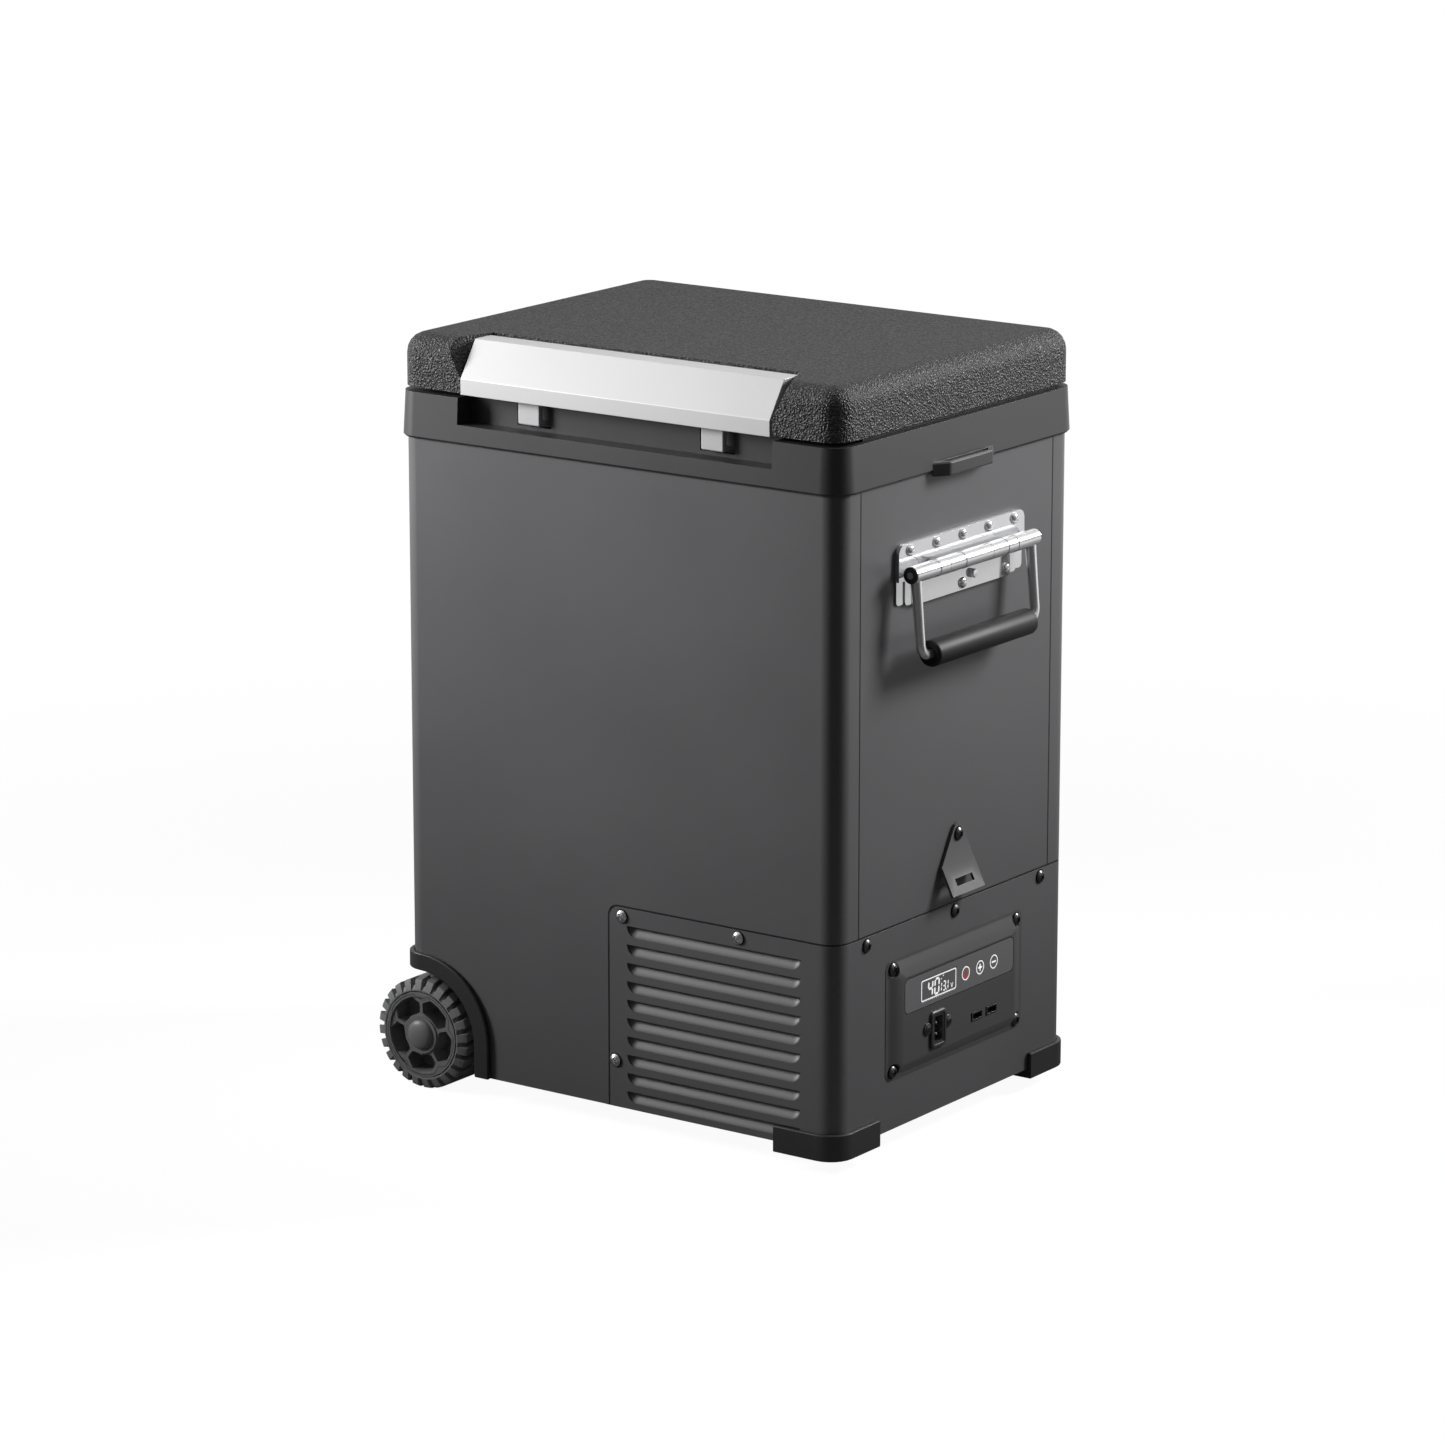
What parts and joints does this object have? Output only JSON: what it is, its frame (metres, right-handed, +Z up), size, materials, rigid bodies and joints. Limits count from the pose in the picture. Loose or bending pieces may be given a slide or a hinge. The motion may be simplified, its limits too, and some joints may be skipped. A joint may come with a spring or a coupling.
{
  "type": "compressor cooler fridge",
  "caption": "Upright portable compressor fridge: sheet-metal cabinet on wheels, moulded collar, hinged lid with latch bar, drop handles, louvred lower cover and control panel",
  "frame": {"origin": "Centre of the bounding box in X and Y, on the floor that the wheels and the stand pads rest on", "axes": "+Z up; -Y is the latch side, +Y the hinge side; +X is the end with the control panel, -X the end with the wheels"},
  "size_m": [0.5298, 0.38, 0.68],
  "materials": {
    "powder_coat": "charcoal powder coat with a fine grain",
    "zinc_steel": "zinc plated",
    "dark_plastic": "satin moulded",
    "lid_plastic": "pebble grain",
    "silver_plastic": "silver lacquer",
    "pale_plastic": "satin moulded",
    "white_plastic": "smooth vacuum-formed",
    "foam": "foamed in place",
    "aluminium": "plain",
    "rubber": "matte",
    "tyre": "matte",
    "chrome": "polished",
    "steel": "plain",
    "black_steel": "black paint",
    "board": "solder mask",
    "lens": "dark window"
  },
  "bodies": {
    "cabinet": {"body_wrap": "powder_coat", "end_panel": "powder_coat", "lower_cover": "powder_coat", "bulkhead": "zinc_steel", "base_tray": "zinc_steel", "collar": "dark_plastic", "inner_liner": "white_plastic", "evaporator": "aluminium", "insulation": "foam", "bumper_front": "dark_plastic", "bumper_rear": "dark_plastic", "pad_front": "rubber", "pad_rear": "rubber", "wheel_housing_front": "dark_plastic", "wheel_housing_rear": "dark_plastic", "wheel_axle": "steel", "hinge_base_left": "steel", "hinge_base_right": "steel", "handle_plate_right": "chrome", "handle_plate_left": "chrome", "handle_pin_right": "steel", "handle_pin_left": "steel", "tie_down_right": "powder_coat", "tie_down_left": "powder_coat", "control_bezel": "dark_plastic", "display_strip": "dark_plastic", "display_lens": "lens", "dc_inlet": "dark_plastic", "usb_sockets": "steel", "control_board": "board", "compressor": "black_steel", "rubber_mount_front": "rubber", "rubber_mount_rear": "rubber", "condenser": "aluminium", "fan_frame": "dark_plastic"},
    "lid": {"lid_shell": "lid_plastic", "lid_panel": "white_plastic", "lid_foam": "foam", "lid_gasket": "rubber", "hinge_leaf_left": "steel", "hinge_leaf_right": "steel", "latch_pin": "steel"},
    "latch": {"latch_bar": "silver_plastic", "latch_hook_left": "pale_plastic", "latch_hook_right": "pale_plastic"},
    "handle_right": {"handle_bail_right": "chrome", "handle_grip_right": "rubber"},
    "handle_left": {"handle_bail_left": "chrome", "handle_grip_left": "rubber"},
    "wheel_front": {"wheel_front_tyre": "tyre", "wheel_front_rim": "dark_plastic", "wheel_front_cap": "dark_plastic"},
    "wheel_rear": {"wheel_rear_tyre": "tyre", "wheel_rear_rim": "dark_plastic", "wheel_rear_cap": "dark_plastic"},
    "fan": {"fan_rotor": "dark_plastic"},
    "power_key": {"key_power": "dark_plastic"},
    "plus_key": {"key_plus": "dark_plastic"},
    "minus_key": {"key_minus": "dark_plastic"}
  },
  "joints": [
    {"name": "lid_hinge", "type": "hinge", "parent": "cabinet", "child": "lid", "pos_m": [0, 0.1862, 0.6315], "axis": [-1, 0, 0], "range_deg": [0, 95]},
    {"name": "latch_turn", "type": "hinge", "parent": "lid", "child": "latch", "pos_m": [0, -0.14, 0.6735], "axis": [-1, 0, 0], "range_deg": [0, 35]},
    {"name": "handle_right_swing", "type": "hinge", "parent": "cabinet", "child": "handle_right", "pos_m": [0.2467, 0, 0.5103], "axis": [0, -1, 0], "range_deg": [0, 90]},
    {"name": "handle_left_swing", "type": "hinge", "parent": "cabinet", "child": "handle_left", "pos_m": [-0.2467, 0, 0.5103], "axis": [0, 1, 0], "range_deg": [0, 90]},
    {"name": "wheel_front_roll", "type": "hinge", "parent": "cabinet", "child": "wheel_front", "pos_m": [-0.2127, -0.155, 0.0502], "axis": [0, 1, 0], "continuous": true},
    {"name": "wheel_rear_roll", "type": "hinge", "parent": "cabinet", "child": "wheel_rear", "pos_m": [-0.2127, 0.155, 0.0502], "axis": [0, 1, 0], "continuous": true},
    {"name": "fan_spin", "type": "hinge", "parent": "cabinet", "child": "fan", "pos_m": [0.0591, 0, 0.0788], "axis": [1, 0, 0], "continuous": true},
    {"name": "power_press", "type": "slide", "parent": "cabinet", "child": "power_key", "axis": [-1, 0, 0], "range_m": [0, 0.0006], "stiffness_N_per_m": 400},
    {"name": "plus_press", "type": "slide", "parent": "cabinet", "child": "plus_key", "axis": [-1, 0, 0], "range_m": [0, 0.0006], "stiffness_N_per_m": 400},
    {"name": "minus_press", "type": "slide", "parent": "cabinet", "child": "minus_key", "axis": [-1, 0, 0], "range_m": [0, 0.0006], "stiffness_N_per_m": 400}
  ]
}
